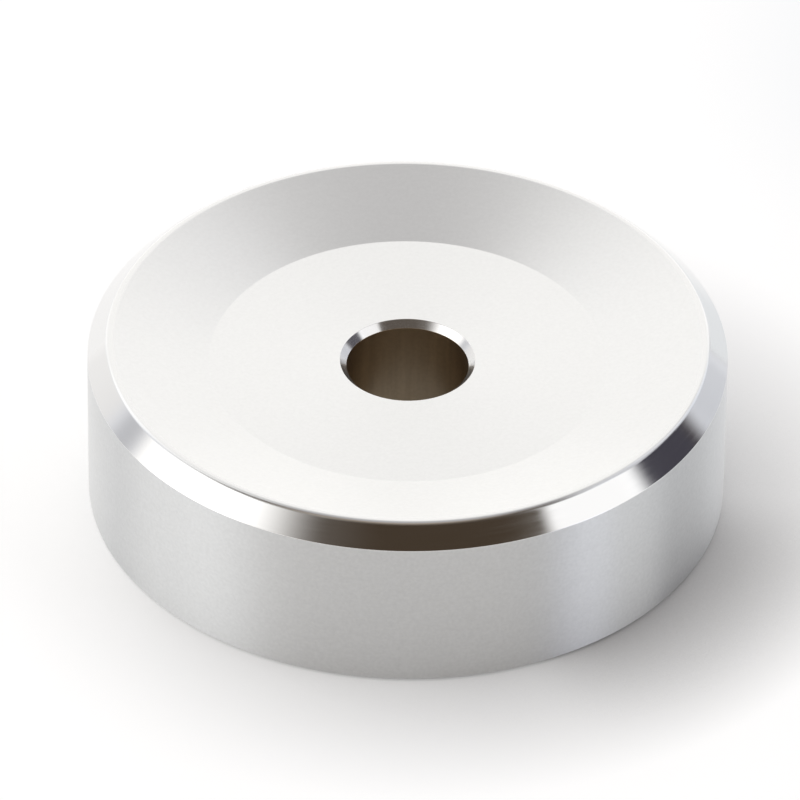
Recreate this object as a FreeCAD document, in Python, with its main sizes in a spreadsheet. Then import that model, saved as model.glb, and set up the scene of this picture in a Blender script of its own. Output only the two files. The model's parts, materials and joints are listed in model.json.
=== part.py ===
import FreeCAD, Part
import math
import os
import Sketcher

# Record spindle adapter: one turned metal puck that fills the large centre hole of a single
# and drops over a turntable's spindle. Millimetres and degrees. +Z is up along the bore, and
# the origin is the centre of the base, where the puck stands on the platter.

# Driving dimensions, each with what it measures
SIZES = {
    "outer_diameter": (38.0, "wall, an easy fit in a 38.1 mm record hole"),
    "overall_height": (10.85, "base to the top of the rounded rim"),
    "rim_cut_drop": (1.2, "top of the rim down to the upper edge of the wall"),
    "rim_cut_angle": (45.0, "slope of the bright cut round the rim"),
    "rim_radius": (0.5, "rounding between the rim cut and the dish"),
    "dish_depth": (1.65, "top of the rim down to the flat floor of the dish"),
    "floor_diameter": (23.6, "flat floor of the dish"),
    "bore_diameter": (7.25, "slides over a 7.1 to 7.2 mm spindle"),
    "bore_chamfer": (0.4, "45 degree cut at both mouths of the bore"),
    "base_chamfer": (0.2, "45 degree broken edge round the base"),
}

FULL_TURN = 360
VOLUME_TOLERANCE = 1e-6
RADIUS_TOLERANCE = 1e-6

# Point places in a sketch: the start, end and centre of a line or arc, and the sketch's origin
START = 1
END = 2
CENTRE = 3
ORIGIN = (-1, 1)

doc = FreeCAD.newDocument("record_spindle_adapter")


def make_sheet():
    """The spreadsheet of driving dimensions: meaning in column A, number and alias in column B."""
    sheet = doc.addObject("Spreadsheet::Sheet", "sizes")
    for row, (alias, (value, meaning)) in enumerate(SIZES.items(), start=1):
        sheet.set(f"A{row}", meaning)
        sheet.set(f"B{row}", str(value))
        sheet.setAlias(f"B{row}", alias)
    doc.recompute()
    return sheet


def new_sketch(body, name, role):
    """An empty sketch on one of the body's own origin planes."""
    plane = next(feature for feature in body.Origin.OriginFeatures if feature.Role == role)
    sketch = body.newObject("Sketcher::SketchObject", name)
    sketch.AttachmentSupport = (plane, [""])
    sketch.MapMode = "FlatFace"
    return sketch


def bind(sketch, name, expression, *constraint):
    """Add a dimension to a sketch under a name of its own, bound to the sheet."""
    index = sketch.addConstraint(Sketcher.Constraint(*constraint))
    sketch.renameConstraint(index, name)
    sketch.setExpression(f"Constraints.{name}", expression)


def half_section(body, sheet):
    """Half-section of the blank, before boring: base, wall, rim cut, rounded rim, dish and floor.

    The rim's arc touches the rim cut and the slope of the dish. Its top is the top of the part.
    """
    wall_radius = sheet.outer_diameter / 2
    wall_top = sheet.overall_height - sheet.rim_cut_drop
    floor_radius = sheet.floor_diameter / 2
    floor_level = sheet.overall_height - sheet.dish_depth
    rim_radius = sheet.rim_radius
    cut_slope = math.radians(sheet.rim_cut_angle)

    # The arc's centre lies one rim radius below the top and one rim radius behind the cut
    arc_level = sheet.overall_height - rim_radius
    cut_rise = arc_level + rim_radius * math.cos(cut_slope) - wall_top
    arc_reach = wall_radius - cut_rise / math.tan(cut_slope) - rim_radius * math.sin(cut_slope)

    # The slope of the dish is the line from the floor's edge that passes over the arc
    across = arc_reach - floor_radius
    up = arc_level - floor_level
    dish_slope = math.atan2(up, across) + math.asin(rim_radius / math.hypot(across, up))

    arc_start = math.pi / 2 - cut_slope
    arc_end = math.pi / 2 + dish_slope
    arc_centre = FreeCAD.Vector(arc_reach, arc_level)
    cut_end = arc_centre + rim_radius * FreeCAD.Vector(math.cos(arc_start), math.sin(arc_start))
    dish_start = arc_centre + rim_radius * FreeCAD.Vector(math.cos(arc_end), math.sin(arc_end))

    axis_foot = FreeCAD.Vector(0, 0)
    base_corner = FreeCAD.Vector(wall_radius, 0)
    wall_corner = FreeCAD.Vector(wall_radius, wall_top)
    floor_corner = FreeCAD.Vector(floor_radius, floor_level)
    axis_head = FreeCAD.Vector(0, floor_level)
    rim_circle = Part.Circle(arc_centre, FreeCAD.Vector(0, 0, 1), rim_radius)

    sketch = new_sketch(body, "half_section", "XZ_Plane")
    base = sketch.addGeometry(Part.LineSegment(axis_foot, base_corner))
    wall = sketch.addGeometry(Part.LineSegment(base_corner, wall_corner))
    cut = sketch.addGeometry(Part.LineSegment(wall_corner, cut_end))
    rim = sketch.addGeometry(Part.ArcOfCircle(rim_circle, arc_start, arc_end))
    dish = sketch.addGeometry(Part.LineSegment(dish_start, floor_corner))
    floor = sketch.addGeometry(Part.LineSegment(floor_corner, axis_head))
    axis = sketch.addGeometry(Part.LineSegment(axis_head, axis_foot))

    for before, after in ((base, wall), (wall, cut), (dish, floor), (floor, axis), (axis, base)):
        sketch.addConstraint(Sketcher.Constraint("Coincident", before, END, after, START))
    for before, after in ((cut, rim), (rim, dish)):
        sketch.addConstraint(Sketcher.Constraint("Tangent", before, END, after, START))
    for level_line in (base, floor):
        sketch.addConstraint(Sketcher.Constraint("Horizontal", level_line))
    for upright_line in (wall, axis):
        sketch.addConstraint(Sketcher.Constraint("Vertical", upright_line))
    sketch.addConstraint(Sketcher.Constraint("Coincident", base, START, *ORIGIN))

    bind(sketch, "wall_radius", "sizes.outer_diameter / 2",
         "DistanceX", base, START, base, END, wall_radius)
    bind(sketch, "wall_height", "sizes.overall_height - sizes.rim_cut_drop",
         "DistanceY", wall, START, wall, END, wall_top)
    bind(sketch, "cut_direction", "180 deg - sizes.rim_cut_angle * 1 deg",
         "Angle", cut, math.pi - cut_slope)
    bind(sketch, "rim_radius", "sizes.rim_radius",
         "Radius", rim, rim_radius)
    bind(sketch, "rim_centre_level", "sizes.overall_height - sizes.rim_radius",
         "DistanceY", *ORIGIN, rim, CENTRE, arc_level)
    bind(sketch, "floor_radius", "sizes.floor_diameter / 2",
         "DistanceX", *ORIGIN, dish, END, floor_radius)
    bind(sketch, "floor_level", "sizes.overall_height - sizes.dish_depth",
         "DistanceY", *ORIGIN, dish, END, floor_level)
    return sketch


def turn_blank(body, sheet):
    """The blank: the half-section turned once round the bore's axis."""
    sketch = half_section(body, sheet)
    blank = body.newObject("PartDesign::Revolution", "turned_blank")
    blank.Profile = sketch
    blank.ReferenceAxis = (sketch, ["V_Axis"])
    blank.Angle = FULL_TURN
    doc.recompute()
    return blank


def bore_through(body, sheet, blank):
    """The spindle bore, cut upwards from the base through the floor of the dish."""
    bore_radius = sheet.bore_diameter / 2
    sketch = new_sketch(body, "bore_circle", "XY_Plane")
    circle = Part.Circle(FreeCAD.Vector(0, 0), FreeCAD.Vector(0, 0, 1), bore_radius)
    wall = sketch.addGeometry(circle)
    sketch.addConstraint(Sketcher.Constraint("Coincident", wall, CENTRE, *ORIGIN))
    bind(sketch, "bore_diameter", "sizes.bore_diameter", "Diameter", wall, sheet.bore_diameter)

    bore = body.newObject("PartDesign::Pocket", "spindle_bore")
    bore.Profile = sketch
    bore.Type = "ThroughAll"
    bore.Reversed = True
    doc.recompute()

    removed = blank.Shape.Volume - bore.Shape.Volume
    expected = math.pi * bore_radius ** 2 * (sheet.overall_height - sheet.dish_depth)
    if not math.isclose(removed, expected, rel_tol=VOLUME_TOLERANCE):
        raise RuntimeError(f"the bore removes {removed:.3f} mm3 instead of {expected:.3f} mm3")
    return bore


def round_edges(feature, radius):
    """Names of a feature's circular edges of one radius, centred on the bore's axis."""
    return [
        f"Edge{number}"
        for number, edge in enumerate(feature.Shape.Edges, start=1)
        if isinstance(edge.Curve, Part.Circle) and abs(edge.Curve.Radius - radius) < RADIUS_TOLERANCE
    ]


def chamfer(body, name, feature, edges, size_alias):
    """A 45 degree chamfer on named edges of a feature, as wide as its size in the sheet."""
    cut = body.newObject("PartDesign::Chamfer", name)
    cut.Base = (feature, edges)
    cut.setExpression("Size", f"sizes.{size_alias}")
    doc.recompute()
    if not cut.Shape.Volume < feature.Shape.Volume:
        raise RuntimeError(f"{name} removes nothing")
    return cut


def lowest_edge(feature, edges):
    """The one of several named edges that lies lowest."""
    return min(edges, key=lambda name: feature.Shape.getElement(name).BoundBox.ZMin)


def make_adapter(sheet):
    """The whole adapter, in the order in which it is turned, bored and deburred."""
    body = doc.addObject("PartDesign::Body", "adapter_body")
    blank = turn_blank(body, sheet)
    bore = bore_through(body, sheet, blank)
    mouths = round_edges(bore, sheet.bore_diameter / 2)
    bore_mouths = chamfer(body, "bore_mouth_cuts", bore, mouths, "bore_chamfer")
    wall_rings = round_edges(bore_mouths, sheet.outer_diameter / 2)
    base_edge = lowest_edge(bore_mouths, wall_rings)
    chamfer(body, "broken_base_edge", bore_mouths, [base_edge], "base_chamfer")
    return body


def check_document():
    """Stop if anything in the document failed without raising an error of its own."""
    for item in doc.Objects:
        if "Invalid" in item.State or "Error" in item.State:
            raise RuntimeError(f"{item.Label} failed: {item.State}")


def write_step(body):
    """Check the finished solid and write it under its own label."""
    shape = body.Shape
    if shape.isNull() or not shape.isValid() or len(shape.Solids) != 1:
        raise RuntimeError(f"{body.Label} is not one valid solid")
    os.makedirs("parts", exist_ok=True)
    shape.exportStep(f"parts/{body.Label}.step")
    box = shape.optimalBoundingBox(False, False)
    print(f"{body.Label}: {box.XLength:.3f} x {box.YLength:.3f} x {box.ZLength:.3f} mm, "
          f"{shape.Volume:.2f} mm3")


adapter = make_adapter(make_sheet())
doc.recompute()
check_document()
write_step(adapter)
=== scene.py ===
"""Finished look of a turned aluminium record spindle adapter, with the studio that it stands in.

Everything is in metres in the part's own frame: +Z up along the bore, base on the floor at zero.
"""

import json
import math
from typing import NamedTuple

import bpy
import numpy as np
from bpy.props import FloatProperty, FloatVectorProperty, IntProperty, PointerProperty
from mathutils import Matrix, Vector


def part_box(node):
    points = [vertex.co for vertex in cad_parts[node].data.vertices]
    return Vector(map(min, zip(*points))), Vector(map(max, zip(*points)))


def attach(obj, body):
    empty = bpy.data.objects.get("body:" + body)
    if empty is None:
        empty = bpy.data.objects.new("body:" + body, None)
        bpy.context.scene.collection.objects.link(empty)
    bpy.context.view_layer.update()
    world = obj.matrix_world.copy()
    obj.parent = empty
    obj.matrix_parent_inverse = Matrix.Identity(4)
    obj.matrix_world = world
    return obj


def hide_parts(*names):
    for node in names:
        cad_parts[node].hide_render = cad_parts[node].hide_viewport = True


bl_info = {
    "name": "Record Spindle Adapter",
    "version": (1, 0, 0),
    "blender": (4, 5, 0),
    "location": "3D View > Sidebar > Adapter",
    "description": "Turned aluminium record spindle adapter with its finishes, studio light and camera",
    "category": "Object",
}

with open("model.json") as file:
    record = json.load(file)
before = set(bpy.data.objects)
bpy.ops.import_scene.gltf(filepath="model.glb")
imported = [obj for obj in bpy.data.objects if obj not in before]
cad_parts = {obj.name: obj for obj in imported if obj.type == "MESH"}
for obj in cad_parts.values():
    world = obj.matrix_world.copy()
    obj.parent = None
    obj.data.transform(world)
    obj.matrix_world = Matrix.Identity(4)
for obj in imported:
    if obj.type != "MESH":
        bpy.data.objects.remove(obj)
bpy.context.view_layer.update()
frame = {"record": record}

MM = 0.001
FULL_TURN = 2 * math.pi
NODE = "adapter_body"
BODY = "root"
TURNING_MAP = "turning"

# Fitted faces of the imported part: the wall that fills the record's hole and the bore for the spindle
MOUNTS = {mount["name"]: mount["dims"] for mount in frame["record"]["mounts"] if mount["dims"]}
WALL_RADIUS = MOUNTS["record_seat"]["r_mm"] * MM
WALL_LENGTH = MOUNTS["record_seat"]["length_mm"] * MM
BORE_RADIUS = MOUNTS["spindle_bore"]["r_mm"] * MM
BORE_LENGTH = MOUNTS["spindle_bore"]["length_mm"] * MM
TOP_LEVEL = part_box(NODE)[1].z

# Noise that draws the textures: the range of its values that is used, and its detail
NOISE_LOW = 0.3
NOISE_HIGH = 0.7
NOISE_DETAIL = 2.0

# Turned, faced and rolled finishes: marks in arcs, so many in a radian, and tiny tears beside them
MARK_ARCS = 9
MARK_DEPTH = 0.01 * MM
SPECK_SIZE = 0.22 * MM
SPECK_SHARE = 0.8

# Bright and deburred cuts: longer arcs, and how far they swing the roughness to each side
CUT_ARCS = 5
CUT_SWING = 0.02

# Bore: streaks down its wall, so many in a radian, the share of tears and the tone of the dark streaks
STREAK_LENGTH = 6 * MM
STREAK_ARCS = 8
BORE_SPECK_SHARE = 0.35
DARK_STREAK = 0.55

# Finishes in the order of the body's material slots
TURNED, FACED, ROLLED, BRIGHT, DEBURRED, REAMED = range(6)


def linear(code):
    """Linear red, green and blue of an sRGB hex colour such as #8090A0."""
    shares = [int(code[at:at + 2], 16) / 255 for at in (1, 3, 5)]
    return tuple(s / 12.92 if s <= 0.04045 else ((s + 0.055) / 1.055) ** 2.4 for s in shares)


class AdapterShape(bpy.types.PropertyGroup):
    """Sizes of the turned body that its fitted faces don't give."""

    base_edge_cut: FloatProperty(
        name="Base edge cut", description="Broken edge round the base, measured along the wall",
        default=0.2 * MM, min=0.0, unit="LENGTH")
    mouth_cut: FloatProperty(
        name="Bore mouth cut", description="Bright 45 degree cut at each mouth of the bore",
        default=0.4 * MM, min=0.0, unit="LENGTH")
    rim_cut_slope: FloatProperty(
        name="Rim cut slope", description="Slope of the bright cut round the rim",
        default=math.radians(45), unit="ROTATION")
    rim_rounding: FloatProperty(
        name="Rim rounding", description="Radius between the bright rim cut and the dish",
        default=0.5 * MM, min=0.0, unit="LENGTH")
    floor_radius: FloatProperty(
        name="Dish floor radius", description="Flat floor of the dish, out to the foot of its slope",
        default=11.8 * MM, min=0.0, unit="LENGTH")
    floor_rounding: FloatProperty(
        name="Dish floor rounding", description="Radius of the tool where the slope meets the floor",
        default=0.25 * MM, min=0.0, unit="LENGTH")
    edge_rounding: FloatProperty(
        name="Edge rounding", description="Tiny rounding that deburring leaves on every other edge",
        default=0.04 * MM, min=0.0, unit="LENGTH")
    turn_steps: IntProperty(
        name="Turn steps", description="Faces once round the body", default=480, min=32)
    arc_steps: IntProperty(
        name="Arc steps", description="Faces across each rounded edge", default=11, min=1)


class AdapterFinish(bpy.types.PropertyGroup):
    """Colours and roughness of the finishes."""

    # Darker than the faced metal: the satin metal's own colour with painted shade for the dim floor the
    # wall reflects
    turned_colour_and_painted_shade: FloatVectorProperty(
        name="Turned metal", description="Bare aluminium of the wall and base",
        default=linear("#DDDEDE"), subtype="COLOR")
    turned_roughness: FloatProperty(
        name="Turned roughness", description="Roughness of the satin turning on the wall and base",
        default=0.37, min=0.0, max=1.0, subtype="FACTOR")
    turned_stretch: FloatProperty(
        name="Turned stretch", description="Stretch of a reflection across the marks on the wall",
        default=1.0, min=0.0, max=1.0, subtype="FACTOR")
    faced_colour: FloatVectorProperty(
        name="Faced metal", description="Bare aluminium of the dish and the rim",
        default=linear("#EAEBEB"), subtype="COLOR")
    faced_roughness: FloatProperty(
        name="Faced roughness", description="Roughness of the fine facing on the dish and its floor",
        default=0.28, min=0.0, max=1.0, subtype="FACTOR")
    faced_stretch: FloatProperty(
        name="Faced stretch", description="Stretch of a reflection across the marks on the dish",
        default=0.45, min=0.0, max=1.0, subtype="FACTOR")
    rolled_roughness: FloatProperty(
        name="Rolled roughness", description="Roughness of the rounded rim",
        default=0.19, min=0.0, max=1.0, subtype="FACTOR")
    mark_spacing: FloatProperty(
        name="Mark spacing", description="Distance between turning marks as drawn",
        default=0.25 * MM, unit="LENGTH")
    bright_colour: FloatVectorProperty(
        name="Bright cut", description="Metal of the rim cut, the base edge and the bore's mouths",
        default=linear("#EEEEED"), subtype="COLOR")
    bright_roughness: FloatProperty(
        name="Bright roughness", description="Roughness of the rim cut and the base edge",
        default=0.09, min=0.0, max=1.0, subtype="FACTOR")
    deburred_roughness: FloatProperty(
        name="Deburred roughness", description="Roughness of the countersunk mouths of the bore",
        default=0.12, min=0.0, max=1.0, subtype="FACTOR")
    # Painted shade: darker and browner than the outside metal, for the dim inside of the hole
    bore_colour_and_painted_shade: FloatVectorProperty(
        name="Reamed bore", description="Dulled metal inside the bore",
        default=linear("#CBB9A0"), subtype="COLOR")
    bore_roughness: FloatProperty(
        name="Bore roughness", description="Roughness of the reamed bore",
        default=0.32, min=0.0, max=1.0, subtype="FACTOR")


class AdapterStage(bpy.types.PropertyGroup):
    """Floor and camera."""

    floor_colour: FloatVectorProperty(
        name="Floor", description="Matt white studio paper", default=linear("#C4C4C4"), subtype="COLOR")
    floor_lift: FloatProperty(
        name="Floor lift", description="Share of white added to the open floor where it is seen",
        default=0.64, min=0.0, max=1.0, subtype="FACTOR")
    # Painted shade: tint of the floor's added white on its dim right side
    floor_painted_dim: FloatVectorProperty(
        name="Floor dim", description="Tint of that white on the side away from the key light",
        default=linear("#CBD4DC"), subtype="COLOR")
    floor_reach: FloatProperty(
        name="Floor reach", description="From the middle of the floor to its sides",
        default=3.0, unit="LENGTH")
    camera_height: FloatProperty(
        name="Camera height", description="Angle of the camera above the floor",
        default=math.radians(37.33), unit="ROTATION")
    camera_tilt: FloatProperty(
        name="Camera tilt", description="Turn of the camera about its own line of sight",
        default=math.radians(0.679), unit="ROTATION")
    camera_distance: FloatProperty(
        name="Camera distance", description="From the camera to the point that it looks at",
        default=621.0 * MM, unit="LENGTH")
    camera_aim: FloatVectorProperty(
        name="Camera aim", description="Point that the camera looks at",
        default=(-0.421 * MM, 0.008 * MM, 6.17 * MM), subtype="TRANSLATION", unit="LENGTH")
    camera_lens: FloatProperty(
        name="Camera lens", description="Focal length in millimetres on a 36 mm sensor",
        default=469.4, unit="CAMERA")


def add_node(tree, kind, inputs=None, **settings):
    """Add a node to a tree, with its settings by name and a value or a socket to link for each input."""
    node = tree.nodes.new(kind)
    for name, value in settings.items():
        setattr(node, name, value)
    for key, value in (inputs or {}).items():
        if isinstance(value, bpy.types.NodeSocket):
            tree.links.new(value, node.inputs[key])
        else:
            node.inputs[key].default_value = value
    return node


def new_material(name):
    """An empty node material, with its output node."""
    material = bpy.data.materials.new(name)
    material.use_nodes = True
    tree = material.node_tree
    tree.nodes.clear()
    return material, tree, add_node(tree, "ShaderNodeOutputMaterial")


def turning_marks(tree, spacing, arcs_per_radian):
    """Noise with one size along the outline and another round the axis.

    The point of the noise is (distance along the outline / spacing, c cos t, c sin t), where t is the angle
    round the axis and c the arcs in a radian, so that the marks close on themselves after a turn.
    """
    chart = add_node(tree, "ShaderNodeUVMap", uv_map=TURNING_MAP)
    along = add_node(tree, "ShaderNodeSeparateXYZ", {0: chart.outputs["UV"]})
    across = add_node(tree, "ShaderNodeMath", {0: along.outputs["X"], 1: 1 / spacing},
                      operation="MULTIPLY")
    place = add_node(tree, "ShaderNodeTexCoord")
    level = add_node(tree, "ShaderNodeVectorMath", {0: place.outputs["Object"], 1: (1, 1, 0)},
                     operation="MULTIPLY")
    ring = add_node(tree, "ShaderNodeVectorMath", {0: level.outputs[0]}, operation="NORMALIZE")
    round_axis = add_node(tree, "ShaderNodeVectorMath", {0: ring.outputs[0], "Scale": arcs_per_radian},
                          operation="SCALE")
    turned = add_node(tree, "ShaderNodeSeparateXYZ", {0: round_axis.outputs[0]})
    point = add_node(tree, "ShaderNodeCombineXYZ",
                     {"X": across.outputs[0], "Y": turned.outputs["X"], "Z": turned.outputs["Y"]})
    return add_node(tree, "ShaderNodeTexNoise",
                    {"Vector": point.outputs[0], "Scale": 1.0, "Detail": NOISE_DETAIL})


def grain(tree, size):
    """Even noise with specks of one size, for the tiny tears that a tool leaves in soft metal."""
    place = add_node(tree, "ShaderNodeTexCoord")
    return add_node(tree, "ShaderNodeTexNoise",
                    {"Vector": place.outputs["Object"], "Scale": 1 / size, "Detail": NOISE_DETAIL})


def marked_aluminium(name, colour, spacing, roughness, stretch, mottle, relief):
    """Bare aluminium with the marks of the tool round its axis.

    A reflection is sharp round the part and smeared across the marks. The real feed of about 0.06 mm is
    finer than a pixel, so the marks are drawn about four times as wide. Mottle is the share by which the
    tone swings about the colour, and relief the strength of the bumps.
    """
    material, tree, output = new_material(name)
    marks = turning_marks(tree, spacing, MARK_ARCS)
    specks = grain(tree, SPECK_SIZE)
    texture = add_node(tree, "ShaderNodeMix", {0: SPECK_SHARE, 2: marks.outputs[0], 3: specks.outputs[0]})
    swing = add_node(tree, "ShaderNodeMapRange", {0: texture.outputs[0], 1: NOISE_LOW, 2: NOISE_HIGH})
    dull = [channel * (1 - mottle) for channel in colour]
    clear = [channel * (1 + mottle) for channel in colour]
    tone = add_node(tree, "ShaderNodeMix", {0: swing.outputs[0], 6: (*dull, 1), 7: (*clear, 1)},
                    data_type="RGBA")
    bumps = add_node(tree, "ShaderNodeBump",
                     {"Strength": relief, "Distance": MARK_DEPTH, "Height": texture.outputs[0]})
    across = add_node(tree, "ShaderNodeTangent", direction_type="UV_MAP", uv_map=TURNING_MAP)
    metal = add_node(tree, "ShaderNodeBsdfPrincipled",
                     {"Base Color": tone.outputs[2], "Metallic": 1.0, "Roughness": roughness,
                      "Anisotropic": stretch, "Tangent": across.outputs[0], "Normal": bumps.outputs[0]})
    tree.links.new(metal.outputs[0], output.inputs["Surface"])
    return material


def satin_turned_aluminium(finish):
    """Aluminium turned with a fine feed: light and shade from above and below run together up the wall."""
    return marked_aluminium("satin turned aluminium", finish.turned_colour_and_painted_shade, finish.mark_spacing,
                            finish.turned_roughness, finish.turned_stretch, mottle=0.038, relief=0.01)


def fine_faced_aluminium(finish):
    """Aluminium faced with a finer feed than the wall's: a smooth silky sheen without visible rings."""
    return marked_aluminium("fine faced aluminium", finish.faced_colour, finish.mark_spacing,
                            finish.faced_roughness, finish.faced_stretch, mottle=0.02, relief=0.02)


def rolled_rim_aluminium(finish):
    """Rounding of the rim, rubbed smooth by hand: a soft gleam between the dish and the bright cut."""
    return marked_aluminium("rolled rim aluminium", finish.faced_colour, finish.mark_spacing,
                            finish.rolled_roughness, finish.faced_stretch, mottle=0.01, relief=0.01)


def cut_aluminium(name, colour, spacing, roughness, metallic):
    """Aluminium cut in one pass, with faint lines along the cut that soften the edges of a reflection."""
    material, tree, output = new_material(name)
    marks = turning_marks(tree, spacing, CUT_ARCS)
    finish = add_node(tree, "ShaderNodeMapRange",
                      {0: marks.outputs[0], 1: NOISE_LOW, 2: NOISE_HIGH,
                       3: roughness - CUT_SWING, 4: roughness + CUT_SWING})
    metal = add_node(tree, "ShaderNodeBsdfPrincipled",
                     {"Base Color": (*colour, 1), "Metallic": metallic, "Roughness": finish.outputs[0]})
    tree.links.new(metal.outputs[0], output.inputs["Surface"])
    return material


def bright_cut_aluminium(finish):
    """Rim cut and base edge, made with a sharp polished tool: close to a mirror."""
    return cut_aluminium("bright cut aluminium", finish.bright_colour, finish.mark_spacing / 2,
                         finish.bright_roughness, metallic=1.0)


def deburred_aluminium(finish):
    """Mouths of the bore, cut with a countersink: bright, with torn facets that scatter a little light."""
    return cut_aluminium("deburred aluminium", finish.bright_colour, finish.mark_spacing / 2,
                         finish.deburred_roughness, metallic=0.88)


def reamed_bore_aluminium(finish):
    """Aluminium bored and reamed.

    The reamer's lands leave soft streaks down the bore, whose wall is painted browner and darker than the
    outside: painted shade of the hole's dim inside.
    """
    material, tree, output = new_material("reamed bore aluminium")
    streaks = turning_marks(tree, STREAK_LENGTH, STREAK_ARCS)
    specks = grain(tree, SPECK_SIZE)
    texture = add_node(tree, "ShaderNodeMix",
                       {0: BORE_SPECK_SHARE, 2: streaks.outputs[0], 3: specks.outputs[0]})
    dark = [channel * DARK_STREAK for channel in finish.bore_colour_and_painted_shade]
    # Painted shade: the bore's colour is darker and browner than the outside's
    tone = add_node(tree, "ShaderNodeMix",
                    {0: texture.outputs[0], 6: (*dark, 1), 7: (*finish.bore_colour_and_painted_shade, 1)}, data_type="RGBA")
    metal = add_node(tree, "ShaderNodeBsdfPrincipled",
                     {"Base Color": tone.outputs[2], "Metallic": 1.0, "Roughness": finish.bore_roughness})
    tree.links.new(metal.outputs[0], output.inputs["Surface"])
    return material


FINISHES = (satin_turned_aluminium, fine_faced_aluminium, rolled_rim_aluminium, bright_cut_aluminium,
            deburred_aluminium, reamed_bore_aluminium)


def rounded_outline(corners, radii, steps):
    """Closed outline whose corners are rounded by arcs that touch the runs on both sides.

    The corners go round the section with the metal on the left. An arc starts r tan(turn / 2) before its
    corner, and its outward normal swings evenly from the run before to the run after. Gives the points and
    their outward normals, steps + 1 for each corner.
    """
    before = corners - np.roll(corners, 1, axis=0)
    before /= np.linalg.norm(before, axis=1, keepdims=True)
    after = np.roll(before, -1, axis=0)
    heading = np.arctan2(before[:, 1], before[:, 0])
    crossed = before[:, 0] * after[:, 1] - before[:, 1] * after[:, 0]
    turn = np.arctan2(crossed, (before * after).sum(axis=1))
    travel = heading[:, None] + turn[:, None] * np.linspace(0, 1, steps + 1)
    normals = np.stack((np.sin(travel), -np.cos(travel)), axis=-1)
    starts = corners - before * (radii * np.tan(np.abs(turn) / 2))[:, None]
    swing = (np.sign(turn) * radii)[:, None, None] * (normals - normals[:, :1])
    points = starts[:, None] + swing
    return points.reshape(-1, 2), normals.reshape(-1, 2)


def body_section(shape):
    """Corners (reach from the axis, level) of the body's section, their radii and the finish of each face.

    A corner has the finish of its rounding, once for each step of the arc, and of the run that follows it.

    The rim's arc lies one rounding below the top and touches the rim cut and the slope of the dish, which
    gives the slope and the point where the two would meet without the arc.
    """
    wall_top = shape.base_edge_cut + WALL_LENGTH
    floor_level = BORE_LENGTH + 2 * shape.mouth_cut
    mouth_radius = BORE_RADIUS + shape.mouth_cut
    cut_slope = shape.rim_cut_slope

    arc_level = TOP_LEVEL - shape.rim_rounding
    cut_rise = arc_level + shape.rim_rounding * math.cos(cut_slope) - wall_top
    arc_reach = WALL_RADIUS - cut_rise / math.tan(cut_slope) - shape.rim_rounding * math.sin(cut_slope)
    across = arc_reach - shape.floor_radius
    up = arc_level - floor_level
    dish_slope = math.atan2(up, across) + math.asin(shape.rim_rounding / math.hypot(across, up))
    middle = (math.pi + dish_slope - cut_slope) / 2
    apex = shape.rim_rounding / math.cos((dish_slope + cut_slope) / 2)
    rim = (arc_reach + apex * math.cos(middle), arc_level + apex * math.sin(middle))

    fine = shape.edge_rounding
    stations = (
        (mouth_radius, 0.0, fine, TURNED, TURNED),
        (WALL_RADIUS - shape.base_edge_cut, 0.0, fine, BRIGHT, BRIGHT),
        (WALL_RADIUS, shape.base_edge_cut, fine, TURNED, TURNED),
        (WALL_RADIUS, wall_top, fine, BRIGHT, BRIGHT),
        (*rim, shape.rim_rounding, ROLLED, FACED),
        (shape.floor_radius, floor_level, shape.floor_rounding, FACED, FACED),
        (mouth_radius, floor_level, fine, DEBURRED, DEBURRED),
        (BORE_RADIUS, floor_level - shape.mouth_cut, fine, REAMED, REAMED),
        (BORE_RADIUS, shape.mouth_cut, fine, DEBURRED, DEBURRED),
    )
    table = np.array(stations)
    arc_finishes = np.repeat(table[:, 3:4], shape.arc_steps, axis=1)
    finishes = np.column_stack((arc_finishes, table[:, 4]))
    return table[:, :2], table[:, 2], finishes.astype(np.int32).ravel()


def turn_section(points, normals, finishes, turns):
    """Mesh of a closed section carried once round the Z axis.

    Point (t, p) is (reach_p cos t, reach_p sin t, level_p), and its normal is turned the same way. The map
    holds the distance along the section in metres and the share of a turn.
    """
    count = len(points)
    angle = np.arange(turns) * (FULL_TURN / turns)
    spokes = np.stack((np.cos(angle), np.sin(angle), np.ones(turns)), axis=1)
    vertices = (spokes[:, None] * points[:, (0, 0, 1)]).reshape(-1, 3)
    directions = (spokes[:, None] * normals[:, (0, 0, 1)]).reshape(-1, 3)

    turn, place = np.meshgrid(np.arange(turns), np.arange(count), indexing="ij")
    corner_turn = np.stack((turn, turn + 1, turn + 1, turn), axis=-1)
    corner_place = np.stack((place, place, place + 1, place + 1), axis=-1)
    quads = ((corner_turn % turns) * count + corner_place % count).reshape(-1, 4)

    steps = np.linalg.norm(np.roll(points, -1, axis=0) - points, axis=1)
    distance = np.concatenate(((0.0,), np.cumsum(steps)))
    chart = np.stack((distance[corner_place], corner_turn / turns), axis=-1)

    mesh = bpy.data.meshes.new(NODE)
    mesh.from_pydata(vertices, [], quads)
    mesh.polygons.foreach_set("material_index", np.tile(finishes, turns))
    mesh.uv_layers.new(name=TURNING_MAP).data.foreach_set("uv", chart.astype(np.float32).ravel())
    mesh.shade_smooth()
    mesh.normals_split_custom_set_from_vertices(directions)
    mesh.update()
    return mesh


class ADAPTER_OT_body(bpy.types.Operator):
    """Turn the adapter's body from its section and give each face its finish"""

    bl_idname = "adapter.body"
    bl_label = "Adapter Body"

    def execute(self, context):
        shape = context.scene.adapter_shape
        finish = context.scene.adapter_finish
        corners, radii, finishes = body_section(shape)
        points, normals = rounded_outline(corners, radii, shape.arc_steps)
        mesh = turn_section(points, normals, finishes, shape.turn_steps)
        for make in FINISHES:
            mesh.materials.append(make(finish))
        body = bpy.data.objects.new("turned_body", mesh)
        context.scene.collection.objects.link(body)
        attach(body, BODY)
        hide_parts(NODE)
        return {"FINISHED"}


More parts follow.
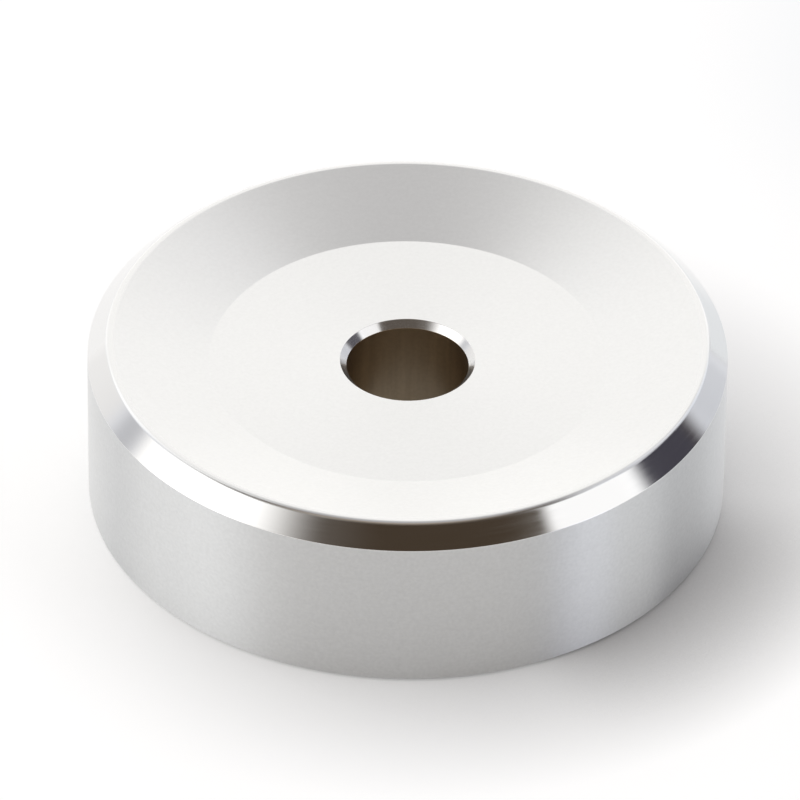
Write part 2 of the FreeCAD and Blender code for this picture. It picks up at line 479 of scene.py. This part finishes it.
class Patch(NamedTuple):
    """A soft-edged patch of the studio's walls as seen from the object, with angles in degrees.

    Azimuth is measured from the camera's side and grows to the camera's right. Elevation grows upwards.
    """

    azimuth: float
    half_width: float
    side_softness: float
    low: float
    high: float
    end_softness: float
    strength: float
    colour: str


# The studio as the metal reflects it, from the back along both sides to the front, and the wall between
PATCHES = {
    "back sweep": Patch(194.5, 51.5, 16, -20, 66, 24, 0.72, "#FCFDFF"),
    "back window": Patch(182, 41, 40, 6, 58, 34, 0.36, "#FFFCF5"),
    "back horizon": Patch(180, 26, 24, -12, 10, 10, 0.50, "#FFFCF5"),
    "right back": Patch(129, 12, 7, -12, 34, 10, 0.70, "#EFF4FE"),
    "right lift": Patch(132, 14, 12, 17, 58, 10, 0.22, "#F6F8FF"),
    "right glow": Patch(147, 6, 10, -6, 25, 8, 0.25, "#F6F9FF"),
    "right canopy": Patch(114, 24, 12, 34, 64, 6, 0.66, "#F6F8FF"),
    "right softbox": Patch(74.6, 17.6, 7, -5, 52, 12, 1.10, "#FCFDFF"),
    "right fill": Patch(60, 11, 9, -8, 32, 10, 0.80, "#D6DEFF"),
    "right shade": Patch(103, 12, 8, -5, 36, 12, 0.045, "#2C9CFF"),
    "left back": Patch(-132, 14, 10, -12, 40, 20, 0.14, "#FFFFFF"),
    "left glow": Patch(-147, 6, 10, -4, 18, 8, 0.18, "#FFFFFF"),
    "left canopy": Patch(-118, 20, 12, 22, 70, 8, 0.32, "#FFFFFF"),
    "left gap": Patch(-112, 7, 6, -12, 45, 14, 0.20, "#DCE8FF"),
    "left strip": Patch(-96, 9, 8, -5, 52, 12, 0.45, "#FFFFFF"),
    "left softbox": Patch(-75, 21.7, 43.5, -5, 51, 12, 1.61, "#FFFFFF"),
    "left top": Patch(-54, 18, 20, 55, 70, 10, 0.27, "#FFF6EA"),
    "left fill": Patch(-62, 11, 9, -8, 32, 10, 0.34, "#FFFFFF"),
    "left feather": Patch(-60, 36, 32, -5, 62, 12, 0.05, "#FFFFFF"),
    "front room": Patch(-4, 46, 20, -8, 8, 10, 0.08, "#FFC090"),
    "front panel": Patch(3, 53, 18, 11, 43, 10, 0.45, "#FCFBF8"),
    "front ceiling": Patch(0, 90, 60, 72, 120, 30, 0.36, "#FFEEDD"),
    "back ceiling": Patch(180, 90, 60, 68, 120, 24, 0.45, "#F8FAFF"),
    "front horizon": Patch(0, 50, 16, -8, 2, 4, 0.40, "#FFCB9A"),
    "right horizon": Patch(81, 31, 16, -8, 2, 4, 0.5, "#FFFFFF"),
    "left horizon": Patch(-81, 31, 16, -8, 2, 4, 0.5, "#FFFFFF"),
}
DARK_WALL = "#463B30"

# Painted shadow at the part's foot: occlusion taken about a tilt towards the left back, deepest at the
# right front: SHADE_DEPTH in that sector and SHADE_OPEN elsewhere. Angles are in degrees, as in the patches
SHADE_TILT_AZIMUTH = -120
SHADE_TILT_HEIGHT = 37
SHADE_REACH = 11 * MM
SHADE_AZIMUTH = 55
SHADE_CORE = 8
SHADE_EDGE = 34
SHADE_OPEN = 0.96
SHADE_DEPTH = 1.42

# Painted shade: further out the floor's added white is dimmer and cooler on the right of the part
DIM_AZIMUTH = 95
DIM_CORE = 15
DIM_EDGE = 75
DIM_START = 28 * MM
DIM_END = 60 * MM

# Gap under the base that keeps the floor off its face, and the camera's sensor and nearest sight
FLOOR_GAP = 0.02 * MM
SENSOR_WIDTH = 36
NEAREST_SIGHT = 10 * MM


def aim(azimuth, elevation):
    """Unit vector towards a direction of the studio, given in degrees."""
    turn = math.radians(azimuth)
    rise = math.radians(elevation)
    return math.sin(turn) * math.cos(rise), -math.cos(turn) * math.cos(rise), math.sin(rise)


def add_patch(tree, flat, elevation, name, patch):
    """A background node whose strength is the patch's, times a window in azimuth and one in elevation."""
    centre = aim(patch.azimuth, 0)
    aside = add_node(tree, "ShaderNodeVectorMath", {0: flat, 1: centre}, operation="DOT_PRODUCT")
    angle = add_node(tree, "ShaderNodeMath", {0: aside.outputs["Value"]}, operation="ARCCOSINE")
    edges = (
        (angle.outputs[0], patch.half_width, patch.side_softness, (1, 0)),
        (elevation, patch.low, patch.end_softness, (0, 1)),
        (elevation, patch.high, patch.end_softness, (1, 0)),
    )
    strength = patch.strength
    for value, edge, softness, (start, end) in edges:
        near = math.radians(edge - softness / 2)
        far = math.radians(edge + softness / 2)
        window = add_node(tree, "ShaderNodeMapRange", {0: value, 1: near, 2: far, 3: start, 4: end},
                          interpolation_type="SMOOTHSTEP")
        share = add_node(tree, "ShaderNodeMath", {0: window.outputs[0], 1: strength},
                         operation="MULTIPLY")
        strength = share.outputs[0]
    colour = (*linear(patch.colour), 1)
    return add_node(tree, "ShaderNodeBackground", {"Color": colour, "Strength": strength}, label=name)


def light_studio(scene):
    """Walls of the studio: warm shade all round, with soft patches of light added to it by direction."""
    world = bpy.data.worlds.new("soft studio")
    world.use_nodes = True
    scene.world = world
    tree = world.node_tree
    tree.nodes.clear()
    direction = add_node(tree, "ShaderNodeTexCoord").outputs["Generated"]
    level = add_node(tree, "ShaderNodeVectorMath", {0: direction, 1: (1, 1, 0)}, operation="MULTIPLY")
    flat = add_node(tree, "ShaderNodeVectorMath", {0: level.outputs[0]}, operation="NORMALIZE").outputs[0]
    height = add_node(tree, "ShaderNodeSeparateXYZ", {0: direction}).outputs["Z"]
    elevation = add_node(tree, "ShaderNodeMath", {0: height}, operation="ARCSINE").outputs[0]
    light = add_node(tree, "ShaderNodeBackground", {"Color": (*linear(DARK_WALL), 1), "Strength": 1.0})
    for name, patch in PATCHES.items():
        glow = add_patch(tree, flat, elevation, name, patch)
        light = add_node(tree, "ShaderNodeAddShader", {0: light.outputs[0], 1: glow.outputs[0]})
    add_node(tree, "ShaderNodeOutputWorld", {"Surface": light.outputs[0]})


def add_sector(tree, place, azimuth, core, edge, outside, inside):
    """A value that goes from outside to inside in a sector of the floor round an azimuth, in degrees."""
    heading = add_node(tree, "ShaderNodeVectorMath", {0: place}, operation="NORMALIZE")
    aside = add_node(tree, "ShaderNodeVectorMath", {0: heading.outputs[0], 1: aim(azimuth, 0)},
                     operation="DOT_PRODUCT")
    return add_node(tree, "ShaderNodeMapRange",
                    {0: aside.outputs["Value"], 1: math.cos(math.radians(edge)),
                     2: math.cos(math.radians(core)), 3: outside, 4: inside},
                    interpolation_type="SMOOTHSTEP")


def painted_foot_shade(tree, place, distance):
    """Share of the floor's white that is left near the part: 1 - depth (1 - openness).

    Painted shadow: the openness is that of the sky about a tilt towards the left back. The depth is greater
    in a sector at the right front, except under the bore.
    """
    # Painted shadow: occlusion is taken about a tilt towards the left back, not from a lamp
    painted_shade_tilt = add_node(tree, "ShaderNodeCombineXYZ", dict(zip("XYZ", aim(SHADE_TILT_AZIMUTH, SHADE_TILT_HEIGHT))))
    openness = add_node(tree, "ShaderNodeAmbientOcclusion",
                        {"Distance": SHADE_REACH, "Normal": painted_shade_tilt.outputs[0]}, samples=8)
    foot = add_node(tree, "ShaderNodeMapRange",
                    {0: distance, 1: WALL_RADIUS / 2, 2: WALL_RADIUS, 3: SHADE_OPEN, 4: SHADE_DEPTH})
    depth = add_sector(tree, place, SHADE_AZIMUTH, SHADE_CORE, SHADE_EDGE, SHADE_OPEN, foot.outputs[0])
    shade = add_node(tree, "ShaderNodeMix", {0: depth.outputs[0], 2: 1.0, 3: openness.outputs["AO"]},
                     clamp_factor=False)
    return shade.outputs[0]


def painted_side_tint(tree, place, distance, dim):
    """Colour of the floor's white: pure near the part and on the left, dim further out on the right."""
    # Painted shade: the floor's white dims and cools further out on the right
    out = add_node(tree, "ShaderNodeMapRange", {0: distance, 1: DIM_START, 2: DIM_END},
                   interpolation_type="SMOOTHSTEP")
    share = add_sector(tree, place, DIM_AZIMUTH, DIM_CORE, DIM_EDGE, 0.0, out.outputs[0])
    tint = add_node(tree, "ShaderNodeMix", {0: share.outputs[0], 6: (1, 1, 1, 1), 7: (*dim, 1)},
                    data_type="RGBA")
    return tint.outputs[2]


def matt_white_paper(stage):
    """Studio paper: dead matt, so it takes the soft shadow of the part.

    Where the camera or a reflection sees it, a little white is added, less in a painted shadow at the
    part's foot and on a painted dim side, so that the open floor is white without more light on the part.
    """
    material, tree, output = new_material("matt white paper")
    place = add_node(tree, "ShaderNodeTexCoord").outputs["Object"]
    distance = add_node(tree, "ShaderNodeVectorMath", {0: place}, operation="LENGTH").outputs["Value"]
    # Painted shadow at the foot and painted dim side on the floor's added white
    shade = painted_foot_shade(tree, place, distance)
    tint = painted_side_tint(tree, place, distance, stage.floor_painted_dim)
    lift = add_node(tree, "ShaderNodeMath", {0: shade, 1: stage.floor_lift},
                    operation="MULTIPLY", use_clamp=True)
    rays = add_node(tree, "ShaderNodeLightPath").outputs
    seen = rays["Is Camera Ray"]
    for kind in ("Is Glossy Ray", "Is Transmission Ray"):
        seen = add_node(tree, "ShaderNodeMath", {0: seen, 1: rays[kind]}, operation="MAXIMUM").outputs[0]
    strength = add_node(tree, "ShaderNodeMath", {0: lift.outputs[0], 1: seen}, operation="MULTIPLY")
    white = add_node(tree, "ShaderNodeEmission", {"Color": tint, "Strength": strength.outputs[0]})
    paper = add_node(tree, "ShaderNodeBsdfDiffuse", {"Color": (*stage.floor_colour, 1)})
    surface = add_node(tree, "ShaderNodeAddShader", {0: paper.outputs[0], 1: white.outputs[0]})
    tree.links.new(surface.outputs[0], output.inputs["Surface"])
    return material


def lay_floor(scene, stage):
    """One flat sheet of paper just under the base."""
    corners = np.array(((-1, -1), (1, -1), (1, 1), (-1, 1))) * stage.floor_reach
    levels = np.full(len(corners), -FLOOR_GAP)
    mesh = bpy.data.meshes.new("floor")
    mesh.from_pydata(np.column_stack((corners, levels)), [], [range(len(corners))])
    mesh.materials.append(matt_white_paper(stage))
    floor = bpy.data.objects.new("floor", mesh)
    scene.collection.objects.link(floor)


def place_camera(scene, stage):
    """Camera in front of the part and above it, turned about its aim by its height and its tilt."""
    data = bpy.data.cameras.new("camera")
    data.sensor_width = SENSOR_WIDTH
    data.lens = stage.camera_lens
    data.clip_start = NEAREST_SIGHT
    camera = bpy.data.objects.new("camera", data)
    lift = Matrix.Rotation(math.pi / 2 - stage.camera_height, 4, "X")
    tilt = Matrix.Rotation(stage.camera_tilt, 4, "Z")
    back = Matrix.Translation((0, 0, stage.camera_distance))
    camera.matrix_world = Matrix.Translation(stage.camera_aim) @ lift @ tilt @ back
    scene.collection.objects.link(camera)
    scene.camera = camera


class ADAPTER_OT_stage(bpy.types.Operator):
    """Lay the floor, light the studio and place the camera"""

    bl_idname = "adapter.stage"
    bl_label = "Adapter Stage"

    def execute(self, context):
        scene = context.scene
        scene.view_settings.view_transform = "Standard"
        lay_floor(scene, scene.adapter_stage)
        light_studio(scene)
        place_camera(scene, scene.adapter_stage)
        return {"FINISHED"}


class ADAPTER_PT_sidebar(bpy.types.Panel):
    """Operators and sizes of the adapter in the 3D view's sidebar"""

    bl_label = "Record Spindle Adapter"
    bl_space_type = "VIEW_3D"
    bl_region_type = "UI"
    bl_category = "Adapter"

    def draw(self, context):
        for operator in (ADAPTER_OT_body, ADAPTER_OT_stage):
            self.layout.operator(operator.bl_idname)
        for group in GROUPS:
            owner = getattr(context.scene, group)
            column = self.layout.column(align=True)
            for name in owner.bl_rna.properties.keys():
                if name not in ("rna_type", "name"):
                    column.prop(owner, name)


GROUPS = {
    "adapter_shape": AdapterShape,
    "adapter_finish": AdapterFinish,
    "adapter_stage": AdapterStage,
}
CLASSES = (*GROUPS.values(), ADAPTER_OT_body, ADAPTER_OT_stage, ADAPTER_PT_sidebar)


def register():
    """Add the classes, and a group of each kind of setting to the scene."""
    for cls in CLASSES:
        bpy.utils.register_class(cls)
    for name, group in GROUPS.items():
        setattr(bpy.types.Scene, name, PointerProperty(type=group))


def unregister():
    """Take the settings and the classes away again."""
    for name in GROUPS:
        delattr(bpy.types.Scene, name)
    for cls in reversed(CLASSES):
        bpy.utils.unregister_class(cls)


def main():
    """Build the body and its stage."""
    register()
    bpy.ops.adapter.body()
    bpy.ops.adapter.stage()


if __name__ == "__main__":
    main()
